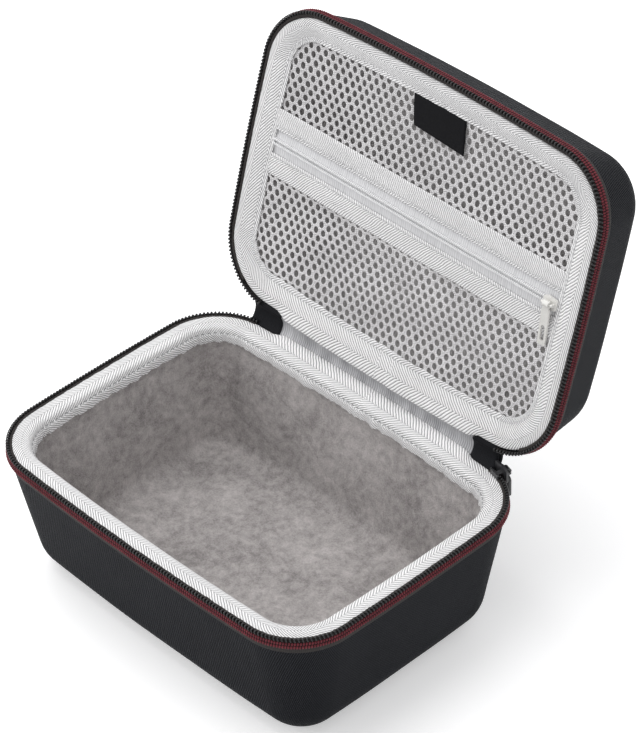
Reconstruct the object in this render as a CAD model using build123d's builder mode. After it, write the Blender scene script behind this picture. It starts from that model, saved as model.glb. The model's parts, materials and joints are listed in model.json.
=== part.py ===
from build123d import *

import math
import os

# A hard moulded case with a hinged lid, standing open.
# The frame is the case's own: +X along the hinge, +Y to the hinge side, +Z up,
# origin in the middle of the underside. All sizes are in millimetres.

# Outline of the case at the zip, seen from above
case_width = 213.0
case_depth = 154.0
corner_radius = 32.0
side_bow_radius = 1650.0

# Heights and walls
parting_height = 74.0
lid_height = 43.0
base_draft = 10.7
lid_draft = 14.0
base_edge_radius = 20.0
lid_edge_radius = 17.0
cavity_edge_radius = 8.0
rim_depth = 4.2
shell_inset = 1.0
base_wall = 8.6
base_floor = 8.6
lid_wall = 5.1
lid_top = 4.6
lining_thickness = 1.0

# Hinge: the lid turns about one line behind the rear rim
hinge_setback = 0.9
hinge_rise = 4.3
open_angle = 107.6
hinge_patch_width = 12.0
hinge_patch_margin = 1.5
hinge_cloth_thickness = 0.8
hinge_lining_thickness = 0.6
hinge_hem = 6.0
hinge_bulge = 2.0
hinge_lining_bulge = 2.4
hinge_base_fold = 0.5
hinge_lid_fold = 1.3
sewn_gap = 0.1
hinge_step = 16.0
patch_step = 2.5

# Main zip: tape, woven stripe and coil
coil_thickness = 2.0
coil_top = 0.45
coil_bottom = 2.8
tape_thickness = 0.6
tape_bottom = 9.4
stripe_thickness = 0.25
stripe_top = 3.1
stripe_bottom = 6.1
zip_end_inset = 29.0

# Binding over the rims
binding_seat = 3.0
binding_crest_inset = 6.5
binding_crest_depth = 1.5
binding_thickness = 0.8
binding_shoulder = 1.4
binding_brow_run = 1.5
binding_brow_drop = 0.4
binding_back_run = 2.8
binding_back_drop = 0.5
binding_turn_run = 0.5
binding_turn_rise = 1.1
lid_binding_back_run = 3.0
base_binding_reach = 13.0
lid_binding_inset = 15.0
lid_binding_shift = 4.5

# Lid pocket: mesh panels, tapes and a small zip
mesh_thickness = 0.8
mesh_margin = 5.0
mesh_gap_long = 4.0
mesh_gap_short = 2.6
mesh_pitch = 7.3
mesh_row = 3.45
band_width = 10.6
band_thickness = 0.7
pocket_line = -4.6
pocket_tape_width = 7.2
pocket_tape_thickness = 0.6
pocket_coil_width = 1.3
pocket_coil_gap = 0.9
pocket_coil_rise = 0.7
pocket_end_inset = 15.5
pocket_tape_end_gap = 0.4
band_lap = 1.8

# Sewn label
label_width = 32.0
label_height = 13.5
label_thickness = 0.6
label_shift = 2.0

# Zip sliders and their pulls
slider_length = 10.0
slider_width = 8.4
slider_tail_width = 6.4
slider_nose_chamfer = 1.0
slider_widest = 1.5
plate_corner = 0.9
plate_thickness = 1.1
plate_clearance = 0.4
inner_plate_length = 6.0
inner_plate_width = 2.6
inner_plate_thickness = 0.9
inner_plate_corner = 0.8
web_thickness = 0.5
web_length = 2.4
bar_diameter = 1.3
bar_reach = 3.2
bar_standoff = 1.9
bar_clearance = 0.08
bar_side_gap = 0.25
eye_wall = 0.9
pull_neck = 2.4
pull_length = 14.0
pull_width = 7.0
pull_thickness = 1.0
pull_hole = 2.4
pull_hole_reach = 8.4
pull_corner = 2.0
slider_turn = 16.0
pocket_slider_length = 8.0
pocket_slider_width = 6.4
pocket_slider_tail_width = 5.2
pocket_slider_park = 4.2
pocket_plate = 0.9
pocket_pull_length = 21.0
pocket_pull_width = 4.6
pocket_pull_slot = 8.0
pocket_pull_slot_width = 2.3
pocket_pull_slot_reach = 15.0
pocket_pull_corner = 1.4
pocket_pull_lean = 8.5

# Where the zip, the hinge patches and the pocket's strips end along the case
zip_end = case_width / 2 - zip_end_inset
patch_end = zip_end - hinge_patch_margin
hinge_half_length = patch_end - hinge_patch_width
pocket_half_length = case_width / 2 - pocket_end_inset
pocket_slider_x = pocket_half_length - pocket_slider_park

# The two frames that the halves are built in: local z runs from the parting
# plane into the half, local +y points to the hinge side.
base_frame = Plane(origin=(0, 0, parting_height), x_dir=(-1, 0, 0), z_dir=(0, 0, -1))
hinge_y = case_depth / 2 + hinge_setback
hinge_z = parting_height + hinge_rise
opening = math.radians(open_angle)


def opened(y, z):
    """Where a point of the closed lid goes when the lid stands open."""
    dy, dz = y - hinge_y, z - hinge_z
    return (
        hinge_y + dy * math.cos(opening) + dz * math.sin(opening),
        hinge_z - dy * math.sin(opening) + dz * math.cos(opening),
    )


lid_frame = Plane(
    origin=(0, *opened(0, parting_height)),
    x_dir=(1, 0, 0),
    z_dir=(0, math.sin(opening), math.cos(opening)),
)

# Outline: four gently bowed sides joined by tangent corner arcs. An inset
# keeps every centre and shortens every radius, so all outlines are parallel.
side_x = case_width / 2 - side_bow_radius
side_y = case_depth / 2 - side_bow_radius


def corner_centre():
    """Centre of the corner arc in the +x +y quarter."""
    reach = side_bow_radius - corner_radius
    span = math.hypot(side_x, side_y)
    half = span / 2
    rise = math.sqrt(reach**2 - half**2)
    return (
        side_x / 2 - rise * side_y / span,
        side_y / 2 - rise * side_x / span,
    )


corner_x, corner_y = corner_centre()


def outline(inset, shift=0.0):
    """Edges of the outline at an inset, in the current line block."""
    radius = side_bow_radius - inset
    reach = side_bow_radius - corner_radius
    on_side = (
        side_x + radius * (corner_x - side_x) / reach,
        radius * corner_y / reach,
    )
    on_rear = (
        radius * corner_x / reach,
        side_y + radius * (corner_y - side_y) / reach,
    )
    lean = math.radians(45)
    on_corner = (
        corner_x + (corner_radius - inset) * math.cos(lean),
        corner_y + (corner_radius - inset) * math.sin(lean),
    )
    far_x = case_width / 2 - inset
    far_y = case_depth / 2 - inset

    def at(point, sx, sy):
        return (sx * point[0], sy * point[1] - shift)

    for sx, sy in ((1, 1), (-1, -1)):
        ThreePointArc(at(on_side, sx, -sy), at((far_x, 0), sx, sy), at(on_side, sx, sy))
        ThreePointArc(at(on_side, sx, sy), at(on_corner, sx, sy), at(on_rear, sx, sy))
        ThreePointArc(at(on_rear, sx, sy), at((0, far_y), sx, sy), at(on_rear, -sx, sy))
        ThreePointArc(at(on_rear, -sx, sy), at(on_corner, -sx, sy), at(on_side, -sx, sy))


def stack(frame, profile):
    """Solid through the outlines at (inset, depth) or (inset, depth, shift)."""
    with BuildPart() as body:
        for inset, depth, *shift in profile:
            with BuildSketch(frame.offset(depth)):
                with BuildLine():
                    outline(inset, *shift)
                make_face()
        loft(ruled=True)
    return body.part


def wall_inset(depth, draft):
    """Inset of the shell's outer face at a depth below the parting plane."""
    return shell_inset + (depth - rim_depth) * math.tan(math.radians(draft))


def tub(frame, draft, wall, bottom, radius):
    """Filled tub: drafted wall from the rim down, rounded outer edge."""
    with BuildPart() as body:
        for depth in (rim_depth, bottom):
            with BuildSketch(frame.offset(depth)):
                with BuildLine():
                    outline(wall_inset(depth, draft) + wall)
                make_face()
        loft(ruled=True)
        far_face = body.faces().sort_by(Axis(frame.origin, frame.z_dir))[-1]
        fillet(far_face.edges(), radius)
    return body.part


def save(piece, name):
    """Label a finished piece and write it under its own name."""
    piece.part.label = name
    export_step(piece.part, f"parts/{name}.step")


os.makedirs("parts", exist_ok=True)

# Moulded shell of each half, foam faced with cloth, and the lining inside it
halves = {
    "base": (base_frame, base_draft, parting_height, base_edge_radius, base_wall, base_floor),
    "lid": (lid_frame, lid_draft, lid_height, lid_edge_radius, lid_wall, lid_top),
}
for half, (frame, draft, height, edge_radius, wall, floor) in halves.items():
    outer = tub(frame, draft, 0, height, edge_radius)
    inner = tub(frame, draft, wall, height - floor, cavity_edge_radius + lining_thickness)
    cavity = tub(
        frame, draft, wall + lining_thickness, height - floor - lining_thickness,
        cavity_edge_radius,
    )
    with BuildPart() as shell:
        add(outer)
        add(inner, mode=Mode.SUBTRACT)
    save(shell, f"{half}_shell")
    with BuildPart() as lining:
        add(inner)
        add(cavity, mode=Mode.SUBTRACT)
    save(lining, f"{half}_lining")


# Main zip on each rim: tape, stripe and coil run round all but the hinge
def hinge_block(frame):
    """Block that clears the hinge stretch of a ring."""
    with BuildPart() as block:
        with BuildSketch(frame):
            with Locations((0, case_depth / 2)):
                Rectangle(2 * zip_end, case_depth / 2)
        extrude(amount=tape_bottom + 1)
    return block.part


def wall_line(draft, proud, top, bottom):
    """Straight drafted line lying a given distance outside the shell."""
    return [(wall_inset(depth, draft) - proud, depth) for depth in (top, bottom)]


for half, (frame, draft, *sizes) in halves.items():
    clear = hinge_block(frame)
    stripe_proud = tape_thickness + stripe_thickness
    rings = {
        "zip_tape": (
            wall_line(draft, tape_thickness, coil_bottom, tape_bottom),
            wall_line(draft, 0, coil_bottom, tape_bottom),
        ),
        "zip_stripe": (
            wall_line(draft, stripe_proud, stripe_top, stripe_bottom),
            wall_line(draft, tape_thickness, stripe_top, stripe_bottom),
        ),
        "zip_coil": (
            [(0, coil_top), (0, coil_bottom)],
            [(coil_thickness, coil_top), (coil_thickness, coil_bottom)],
        ),
    }
    for name, (outside, inside) in rings.items():
        with BuildPart() as ring:
            add(stack(frame, outside))
            add(stack(frame, inside), mode=Mode.SUBTRACT)
            add(clear, mode=Mode.SUBTRACT)
        save(ring, f"{half}_{name}")


# Binding: a padded roll over the rim. Its outer flank rises from the tape to
# the crest. In the base an inner leg runs down the lining.
def outer_flank(draft):
    """Profile of the roll from the shell's rim up to the crest."""
    return [
        (wall_inset(rim_depth, draft), rim_depth),
        (wall_inset(binding_seat, draft), binding_seat),
        (coil_thickness + binding_shoulder, binding_seat - sewn_gap),
        (binding_crest_inset - binding_brow_run, binding_crest_depth + binding_brow_drop),
        (binding_crest_inset, binding_crest_depth),
    ]


leg_top = wall_inset(rim_depth, base_draft) + base_wall + lining_thickness
leg_end = wall_inset(base_binding_reach, base_draft) + base_wall + lining_thickness
base_roll = [
    (binding_crest_inset, binding_crest_depth),
    (binding_crest_inset + binding_back_run, binding_crest_depth + binding_back_drop),
    (leg_top + binding_thickness - binding_turn_run, rim_depth - binding_turn_rise),
    (leg_top + binding_thickness, rim_depth),
    (leg_end + binding_thickness, base_binding_reach),
]
with BuildPart() as base_binding:
    add(stack(base_frame, outer_flank(base_draft)))
    add(stack(base_frame, [(leg_top, rim_depth), (leg_end, base_binding_reach)]))
    add(stack(base_frame, base_roll), mode=Mode.SUBTRACT)
save(base_binding, "base_binding")

lid_roll = [
    (binding_crest_inset, binding_crest_depth),
    (
        binding_crest_inset + lid_binding_back_run,
        binding_crest_depth + binding_back_drop,
        lid_binding_shift / 3,
    ),
    (lid_binding_inset, rim_depth, lid_binding_shift),
]
with BuildPart() as lid_binding:
    add(stack(lid_frame, outer_flank(lid_draft)))
    add(stack(lid_frame, lid_roll), mode=Mode.SUBTRACT)
save(lid_binding, "lid_binding")

# Mesh pocket in the lid: one flat panel on each side of the pocket zip,
# seated against the lining and sewn under the binding
panel_inset = wall_inset(rim_depth + mesh_thickness, lid_draft) + lid_wall + lining_thickness
panel_reach = case_depth / 2 - panel_inset
tape_reach = pocket_coil_gap / 2 + pocket_tape_width
mesh_limits = {
    "upper": (-panel_reach, pocket_line - tape_reach),
    "lower": (pocket_line + tape_reach, panel_reach),
}
visible_reach = case_depth / 2 - lid_binding_inset
visible_side = case_width / 2 - lid_binding_inset
visible_corner = corner_radius - lid_binding_inset


def gap_spots(low, high):
    """Centres of a panel's gaps in staggered rows inside its visible field."""
    middle = (low + high) / 2
    rows = int((high - low - mesh_margin) // mesh_row)
    spots = []
    for row in range(rows + 1):
        y = middle + (row - rows / 2) * mesh_row
        past = max(0.0, abs(y + lid_binding_shift) - (visible_reach - visible_corner))
        cut = visible_corner - math.sqrt(max(0.0, visible_corner**2 - past**2))
        columns = int(2 * (visible_side - mesh_margin / 2 - cut) // mesh_pitch)
        columns -= (columns + row) % 2
        spots += [((n - columns / 2) * mesh_pitch, y) for n in range(columns + 1)]
    return spots


for name, (low, high) in mesh_limits.items():
    if name == "upper":
        spots = gap_spots(-visible_reach - lid_binding_shift, high - band_width + band_lap)
    else:
        spots = gap_spots(low + band_width - band_lap, visible_reach - lid_binding_shift)
    with BuildPart() as mesh:
        with BuildSketch(lid_frame.offset(rim_depth)):
            with BuildLine():
                outline(panel_inset)
            make_face()
            with Locations((0, (low + high) / 2)):
                Rectangle(case_width, high - low, mode=Mode.INTERSECT)
            with Locations(*spots):
                Ellipse(mesh_gap_short / 2, mesh_gap_long / 2, mode=Mode.SUBTRACT)
        extrude(amount=mesh_thickness)
    save(mesh, f"pocket_mesh_{name}")
    print("mesh", name, "gaps", len(spots))

# Pocket zip: on each side a flat zip tape, a row of coil on its edge and a
# sewn band over the joint between the tape and the mesh
tape_half_length = case_width / 2 - panel_inset - pocket_tape_end_gap
for name, way in (("upper", -1), ("lower", 1)):
    strips = {
        "tape": (pocket_coil_gap / 2, tape_reach, rim_depth, pocket_tape_thickness, tape_half_length),
        "coil": (
            pocket_coil_gap / 2, pocket_coil_gap / 2 + pocket_coil_width,
            rim_depth - pocket_coil_rise, pocket_coil_rise, pocket_half_length,
        ),
        "band": (
            tape_reach - band_lap, tape_reach - band_lap + band_width,
            rim_depth - band_thickness, band_thickness, pocket_half_length,
        ),
    }
    for kind, (near, far, depth, thickness, half_length) in strips.items():
        with BuildPart() as strip:
            with BuildSketch(lid_frame.offset(depth)):
                with Locations((0, pocket_line + way * (near + far) / 2)):
                    Rectangle(2 * half_length, far - near)
            extrude(amount=thickness)
        save(strip, f"pocket_{kind}_{name}")

# Bare woven label, sewn at the edge of the front binding
label_top = -visible_reach - lid_binding_shift + sewn_gap
with BuildPart() as label_tag:
    with BuildSketch(lid_frame.offset(rim_depth - label_thickness)):
        with Locations((label_shift, label_top + label_height / 2)):
            Rectangle(label_width, label_height)
    extrude(amount=label_thickness)
save(label_tag, "label_tag")


# Hinge: cloth hemmed to both rear walls outside, a satin strip inside it, and
# a plain patch at each end
def rear_edge(x, inset):
    """Distance of the rear side from the middle at x, for an inset."""
    turn_x = (side_bow_radius - inset) * corner_x / (side_bow_radius - corner_radius)
    if abs(x) <= turn_x:
        return side_y + math.sqrt((side_bow_radius - inset) ** 2 - x**2)
    return corner_y + math.sqrt((corner_radius - inset) ** 2 - (abs(x) - corner_x) ** 2)


def base_point(x, depth, proud):
    """Point outside the base's rear wall."""
    return rear_edge(x, wall_inset(depth, base_draft)) + proud, parting_height - depth


def lid_point(x, depth, proud):
    """Point outside the open lid's rear wall."""
    y = rear_edge(x, wall_inset(depth, lid_draft)) + proud
    return opened(y, parting_height + depth)


def belly(start, end, bulge):
    """Middle point of an arc that bulges backwards between two points."""
    run = Vector(*end) - Vector(*start)
    out = Vector(run.Y, -run.X).normalized()
    middle = (Vector(*start) + Vector(*end)) * 0.5 + out * bulge
    return middle.X, middle.Y


def cloth_section(x, near, far, bulge):
    """Hemmed cloth between its near and far faces, measured off the walls."""
    hem = rim_depth + hinge_hem
    faces = []
    for proud, base_fold, lid_fold in ((near, 0, 0), (far, hinge_base_fold, hinge_lid_fold)):
        start = base_point(x, rim_depth + base_fold, proud)
        end = lid_point(x, rim_depth + lid_fold, proud)
        faces.append((base_point(x, hem, proud), start, end, lid_point(x, hem, proud)))
    (a, b, c, d), (e, f, g, h) = faces
    Line(a, b)
    ThreePointArc(b, belly(b, c, bulge), c)
    Line(c, d)
    Line(d, h)
    Line(h, g)
    ThreePointArc(g, belly(f, g, bulge + (far - near) / 2), f)
    Line(f, e)
    Line(e, a)


def lining_section(x):
    """Satin strip lying in the bow of the cloth, between the two bindings."""
    depth = binding_seat - 1.5 * sewn_gap
    start, end = base_point(x, depth, 0), lid_point(x, depth, 0)
    middle = belly(start, end, hinge_lining_bulge)
    half_chord = math.dist(start, end) / 2
    radius = (half_chord**2 + hinge_lining_bulge**2) / (2 * hinge_lining_bulge)
    centre = belly(start, end, hinge_lining_bulge - radius)
    share = 1 - hinge_lining_thickness / radius
    inner = [
        (centre[0] + (y - centre[0]) * share, centre[1] + (z - centre[1]) * share)
        for y, z in (start, middle, end)
    ]
    ThreePointArc(start, middle, end)
    Line(end, inner[2])
    ThreePointArc(*reversed(inner))
    Line(inner[0], start)


def stations(start, end, step):
    """Evenly spaced places along the hinge."""
    steps = math.ceil((end - start) / step)
    return [start + (end - start) * n / steps for n in range(steps + 1)]


hinge_pieces = {
    "hinge_cloth": (-hinge_half_length, hinge_half_length, hinge_step),
    "hinge_patch_left": (-patch_end, -hinge_half_length, patch_step),
    "hinge_patch_right": (hinge_half_length, patch_end, patch_step),
}
for name, stretch in hinge_pieces.items():
    with BuildPart() as cloth:
        for x in stations(*stretch):
            with BuildSketch(Plane.YZ.offset(x)):
                with BuildLine():
                    cloth_section(x, sewn_gap, sewn_gap + hinge_cloth_thickness, hinge_bulge)
                make_face()
        loft(ruled=True)
    save(cloth, name)

with BuildPart() as hinge_lining:
    for x in stations(-hinge_half_length, hinge_half_length, hinge_step):
        with BuildSketch(Plane.YZ.offset(x)):
            with BuildLine():
                lining_section(x)
            make_face()
    loft(ruled=True)
save(hinge_lining, "hinge_lining")


# Zip sliders: two plates joined by a thin web that runs between the coils,
# with a bar on the outer plate for the pull. Local x is the way it slides,
# local y the way the pull hangs, local z points out of the coil's face.
def build_slider(frame, sizes, name):
    """Slider with its plates either side of the coil; frame is on the coil's face."""
    length, width, tail, thickness, clearance, back, bar_rise = sizes
    face = clearance + thickness
    bar_height = face + bar_rise
    back_face = -back - clearance
    nose = width / 2 - slider_nose_chamfer
    with BuildPart() as slider:
        with BuildSketch(frame.offset(clearance)) as plate:
            with BuildLine():
                Polyline(
                    (-length / 2, -tail / 2), (-length / 2, tail / 2), (slider_widest, width / 2),
                    (length / 2, nose), (length / 2, -nose), (slider_widest, -width / 2),
                    close=True,
                )
            make_face()
            fillet(plate.vertices(), plate_corner)
        extrude(amount=thickness)
        with BuildSketch(frame.offset(back_face)):
            RectangleRounded(inner_plate_length, inner_plate_width, inner_plate_corner)
        extrude(amount=-inner_plate_thickness)
        with BuildSketch(frame.offset(back_face)):
            Rectangle(web_length, web_thickness)
        extrude(amount=clearance - back_face)
        post = bar_reach - bar_diameter / 2
        with BuildSketch(frame.offset(face)):
            with Locations((-post, 0), (post, 0)):
                Rectangle(bar_diameter, bar_diameter)
        extrude(amount=bar_rise)
        across = Plane(origin=frame.from_local_coords((0, 0, bar_height)), x_dir=frame.y_dir,
                       z_dir=frame.x_dir)
        with BuildSketch(across.offset(-bar_reach)):
            Circle(bar_diameter / 2)
        extrude(amount=2 * bar_reach)
    save(slider, name)
    return across


def build_pull(across, length, width, corner, hole_reach, hole_length, hole_width, name):
    """Flat pull with an eye round the bar, hanging along local x of its frame."""
    eye = bar_diameter / 2 + bar_clearance
    eye_half_width = bar_reach - bar_diameter - bar_side_gap
    flat = Plane(origin=across.origin, x_dir=across.x_dir, z_dir=across.y_dir)
    with BuildPart() as pull:
        with BuildSketch(across.offset(-eye_half_width)):
            Circle(eye + eye_wall)
            with Locations((pull_neck / 2, 0)):
                Rectangle(pull_neck, pull_thickness)
            Circle(eye, mode=Mode.SUBTRACT)
        extrude(amount=2 * eye_half_width)
        with BuildSketch(flat.offset(-pull_thickness / 2)) as tab:
            with Locations(((pull_neck + length) / 2, 0)):
                RectangleRounded(length - pull_neck, width, corner)
            with Locations((hole_reach, 0)):
                if hole_length > hole_width:
                    SlotOverall(hole_length, hole_width, mode=Mode.SUBTRACT)
                else:
                    Circle(hole_width / 2, mode=Mode.SUBTRACT)
        extrude(amount=pull_thickness)
    save(pull, name)


slide_turn = math.radians(slider_turn)
outward = Vector(math.sin(slide_turn), math.cos(slide_turn), 0)
along = Vector(math.cos(slide_turn), -math.sin(slide_turn), 0)
main_spot = Vector(corner_x, corner_y, parting_height) + outward * corner_radius
main_slide = Plane(origin=main_spot, x_dir=along, z_dir=outward)
main_bar = build_slider(
    main_slide,
    (slider_length, slider_width, slider_tail_width, plate_thickness, plate_clearance,
     coil_thickness, bar_standoff),
    "zip_slider",
)
build_pull(
    main_bar, pull_length, pull_width, pull_corner, pull_hole_reach, pull_hole, pull_hole,
    "zip_pull",
)

pocket_spot = lid_frame.from_local_coords(
    (pocket_slider_x, pocket_line, rim_depth - pocket_coil_rise)
)
pocket_slide = Plane(origin=pocket_spot, x_dir=(-1, 0, 0), z_dir=lid_frame.z_dir * -1)
pocket_bar = build_slider(
    pocket_slide,
    (pocket_slider_length, pocket_slider_width, pocket_slider_tail_width, pocket_plate,
     plate_clearance, pocket_coil_rise + pocket_tape_thickness, bar_standoff),
    "pocket_slider",
)
lean = math.radians(pocket_pull_lean)
pocket_hang = Plane(
    origin=pocket_bar.origin,
    x_dir=pocket_bar.x_dir * math.cos(lean) - pocket_bar.y_dir * math.sin(lean),
    z_dir=pocket_bar.z_dir,
)
build_pull(
    pocket_hang, pocket_pull_length, pocket_pull_width, pocket_pull_corner,
    pocket_pull_slot_reach, pocket_pull_slot, pocket_pull_slot_width, "pocket_pull",
)
print("corner centre", corner_x, corner_y)
print("main bar", main_bar.origin, main_bar.z_dir, "pocket bar", pocket_bar.origin)
print("hinge axis", hinge_y, hinge_z)
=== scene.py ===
import json
import math

import bmesh
import bpy
import numpy as np
from mathutils import Matrix, Vector, noise


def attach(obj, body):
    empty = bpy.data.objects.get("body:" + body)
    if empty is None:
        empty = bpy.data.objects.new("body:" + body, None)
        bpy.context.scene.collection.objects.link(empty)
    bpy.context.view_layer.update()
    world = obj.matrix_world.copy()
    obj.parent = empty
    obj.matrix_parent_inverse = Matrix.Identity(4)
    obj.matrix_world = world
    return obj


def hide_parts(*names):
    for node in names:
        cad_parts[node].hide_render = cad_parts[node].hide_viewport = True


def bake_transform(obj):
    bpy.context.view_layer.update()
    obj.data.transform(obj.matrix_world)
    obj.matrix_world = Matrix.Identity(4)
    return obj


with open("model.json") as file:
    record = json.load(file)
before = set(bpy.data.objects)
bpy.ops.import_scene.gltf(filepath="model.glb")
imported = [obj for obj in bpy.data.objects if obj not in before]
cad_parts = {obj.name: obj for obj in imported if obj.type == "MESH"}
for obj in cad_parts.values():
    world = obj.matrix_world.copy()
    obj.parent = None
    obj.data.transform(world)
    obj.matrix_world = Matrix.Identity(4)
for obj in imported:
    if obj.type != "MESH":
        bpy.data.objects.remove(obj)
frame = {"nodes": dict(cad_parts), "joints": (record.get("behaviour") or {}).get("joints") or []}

# Blender seeds noise_vector from the clock, so a fixed seed gives the same shapes each run.
noise.seed_set(7)

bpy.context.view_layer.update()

# A hard zip case, standing open. Shapes are worked out in millimetres on the
# closed case: x along the hinge, y towards the hinge side, and the depth from
# the parting plane into the base or the lid. Each piece is then placed in its
# half, in metres.

# Outline and section of the two moulded halves
CASE_WIDTH, CASE_DEPTH = 213.0, 154.0
CORNER, BOW, TIGHTEST = 32.0, 1650.0, 3.0
PARTING, LID_HEIGHT = 74.0, 43.0
RIM_DEPTH, SHELL_INSET = 4.2, 1.0
DRAFT = {"base": math.radians(10.7), "lid": math.radians(14.0)}
HEIGHT = {"base": PARTING, "lid": LID_HEIGHT}
EDGE = {"base": 20.0, "lid": 17.0}
WALL = {"base": 8.6, "lid": 5.1}
FLOOR = {"base": 8.6, "lid": 4.6}
LINING, CAVITY_EDGE = 1.0, 8.0

# Bindings: how far each wraps back over the hinge, and its rim's shifts
WRAP = {"base": 1.9, "lid": 2.6}
HINGE_LIFT, FRONT_SHIFT = 0.8, 1.3
OVERLAP_AT, OVERLAP_RUN, OVERLAP_RISE = 8.7, 16, 0.6
FLAT_REACH = 9  # how far the pocket zip's ends press the lid's gathers flat

# Main zip
COIL_PITCH, COIL_INSET = 1.8, 0.95
COIL_TOP = 0.45
KNOT_PITCH = 1.27
PARKED = 12  # steps of the lid's inner edge left out where the slider parks
ZIP_END = 77.5

# Hinge
hinge_joint = next(j for j in frame["joints"] if j["name"] == "lid_hinge")
HINGE_Y, HINGE_Z = (1000 * v for v in hinge_joint["pos_m"][1:])
OPEN = math.radians(max(hinge_joint["range_deg"]))
SATIN_END = 64.0
PATCH_END = 78.5
FACE_END = {"left": 82.0, "right": 78.5}

# Lid pocket
MESH_INSET, MESH_SHIFT = 16.0, 1.2
POCKET_LINE = -4.6
CELL_X, CELL_Y, HOLE_X, HOLE_Y = 4.75, 3.65, 1.43, 1.74
BAND_NEAR, BAND_FAR = 5.9, 16.4
TAPE_FAR = 7.6
POCKET_END = 91.0

# Each mesh panel's first row, last row and seed
PANELS = {
    "upper": (-64.5, POCKET_LINE - 12.0, 1.0),
    "lower": (POCKET_LINE + 12.5, 61.0, 2.0),
}
MESH_SPAN = 200

# Label
LABEL_LEFT, LABEL_RIGHT, LABEL_TALL = -14, 18, 13.6

# Camera, fitted to the photograph
PHOTO_HEIGHT, FOCAL_PIXELS, SENSOR = 733, 3585.0, 36.0


def opened(y, z):
    """Where a point of the closed lid goes when the lid stands open."""
    dy, dz = y - HINGE_Y, z - HINGE_Z
    return (
        HINGE_Y + dy * math.cos(OPEN) + dz * math.sin(OPEN),
        HINGE_Z - dy * math.sin(OPEN) + dz * math.cos(OPEN),
    )


def placed(points, half):
    """Points of a half (x, y, depth) put in the shared frame, in metres."""
    p = np.asarray(points, float).reshape(-1, 3)
    if half == "base":
        out = np.column_stack([p[:, 0], p[:, 1], PARTING - p[:, 2]])
    elif half == "lid":
        y, z = opened(p[:, 1], PARTING + p[:, 2])
        out = np.column_stack([p[:, 0], y, z])
    else:
        out = p
    return out / 1000


# ---------- outline ----------
def quarter(inset):
    """Outline from the middle of the hinge side to the middle of the right side."""
    r = max(CORNER - inset, TIGHTEST)
    side_x, side_y = CASE_WIDTH / 2 - BOW, CASE_DEPTH / 2 - BOW
    reach, span = BOW - inset - r, math.hypot(side_x, side_y)
    rise = math.sqrt(reach**2 - span**2 / 4)
    cx, cy = side_x / 2 - rise * side_y / span, side_y / 2 - rise * side_x / span
    a_rear, a_side = math.atan2(cx, cy - side_y), math.atan2(cy, cx - side_x)
    rear = np.linspace(0, a_rear, 61)[:-1]
    turn = np.linspace(a_rear, math.pi / 2 - a_side, 43)
    side = np.linspace(a_side, 0, 36)[1:]
    big = BOW - inset
    x = np.concatenate([big * np.sin(rear), cx + r * np.sin(turn), side_x + big * np.cos(side)])
    y = np.concatenate([side_y + big * np.cos(rear), cy + r * np.cos(turn), big * np.sin(side)])
    return np.column_stack([x, y])


def outline(inset, shift=0.0):
    """The whole outline at an inset, closed, clockwise from the hinge side."""
    q = quarter(inset)
    parts = [q, q[::-1][1:] * (1, -1), q[1:] * (-1, -1), q[::-1][1:] * (-1, 1)]
    loop = np.concatenate(parts)
    loop[:, 1] -= shift
    return loop


RUN = np.concatenate([[0], np.cumsum(np.linalg.norm(np.diff(outline(0), axis=0), axis=1))])
LENGTH = RUN[-1]
ZIP_START = float(np.interp(ZIP_END, outline(0)[:103, 0], RUN[:103]))


def around(inset, depth, run, shift=0.0):
    """Points on the outline at given runs along the rim."""
    loop = outline(inset, shift)
    x, y = np.interp(run, RUN, loop[:, 0]), np.interp(run, RUN, loop[:, 1])
    return np.column_stack([x, y, np.broadcast_to(depth, x.shape)])


def wall_inset(depth, half):
    return SHELL_INSET + (depth - RIM_DEPTH) * math.tan(DRAFT[half])


def smooth_line(points, per=6):
    """Catmull-Rom line through profile points."""
    p = np.asarray(points, float)
    p = np.vstack([2 * p[0] - p[1], p, 2 * p[-1] - p[-2]])
    out = []
    for a, b, c, d in zip(p[:-3], p[1:-2], p[2:-1], p[3:]):
        for t in np.arange(per) / per:
            bend, twist = 2 * a - 5 * b + 4 * c - d, 3 * b - a - 3 * c + d
            out.append(0.5 * (2 * b + (c - a) * t + bend * t**2 + twist * t**3))
    out.append(p[-2])
    return np.array(out)


def sweep(profile, run):
    """Grid of points: a profile of (inset, depth) or (inset, depth, shift) along the rim."""
    rows = [around(r[0], r[1], run, r[2] if len(r) > 2 else 0.0) for r in profile]
    return np.stack(rows, axis=1)


# ---------- meshes ----------
def face_outward(mesh, close=False):
    """Turns the faces outward; close also joins the open borders of a sheet's two sides."""
    work = bmesh.new()
    work.from_mesh(mesh)
    if close:
        bmesh.ops.bridge_loops(work, edges=[e for e in work.edges if e.is_boundary])
    bmesh.ops.recalc_face_normals(work, faces=work.faces)
    work.to_mesh(mesh)
    work.free()


def piece(name, points, faces, uvs, material, half):
    """A mesh object from points in millimetres, placed in its half."""
    mesh = bpy.data.meshes.new(name)
    mesh.from_pydata([tuple(p) for p in placed(points, half)], [], faces)
    mesh.uv_layers.new(name="UVMap").data.foreach_set("uv", np.asarray(uvs, np.float32).ravel())
    mesh.materials.append(material)
    face_outward(mesh)
    mesh.shade_smooth()
    obj = bpy.data.objects.new(name, mesh)
    bpy.context.scene.collection.objects.link(obj)
    return obj


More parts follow.
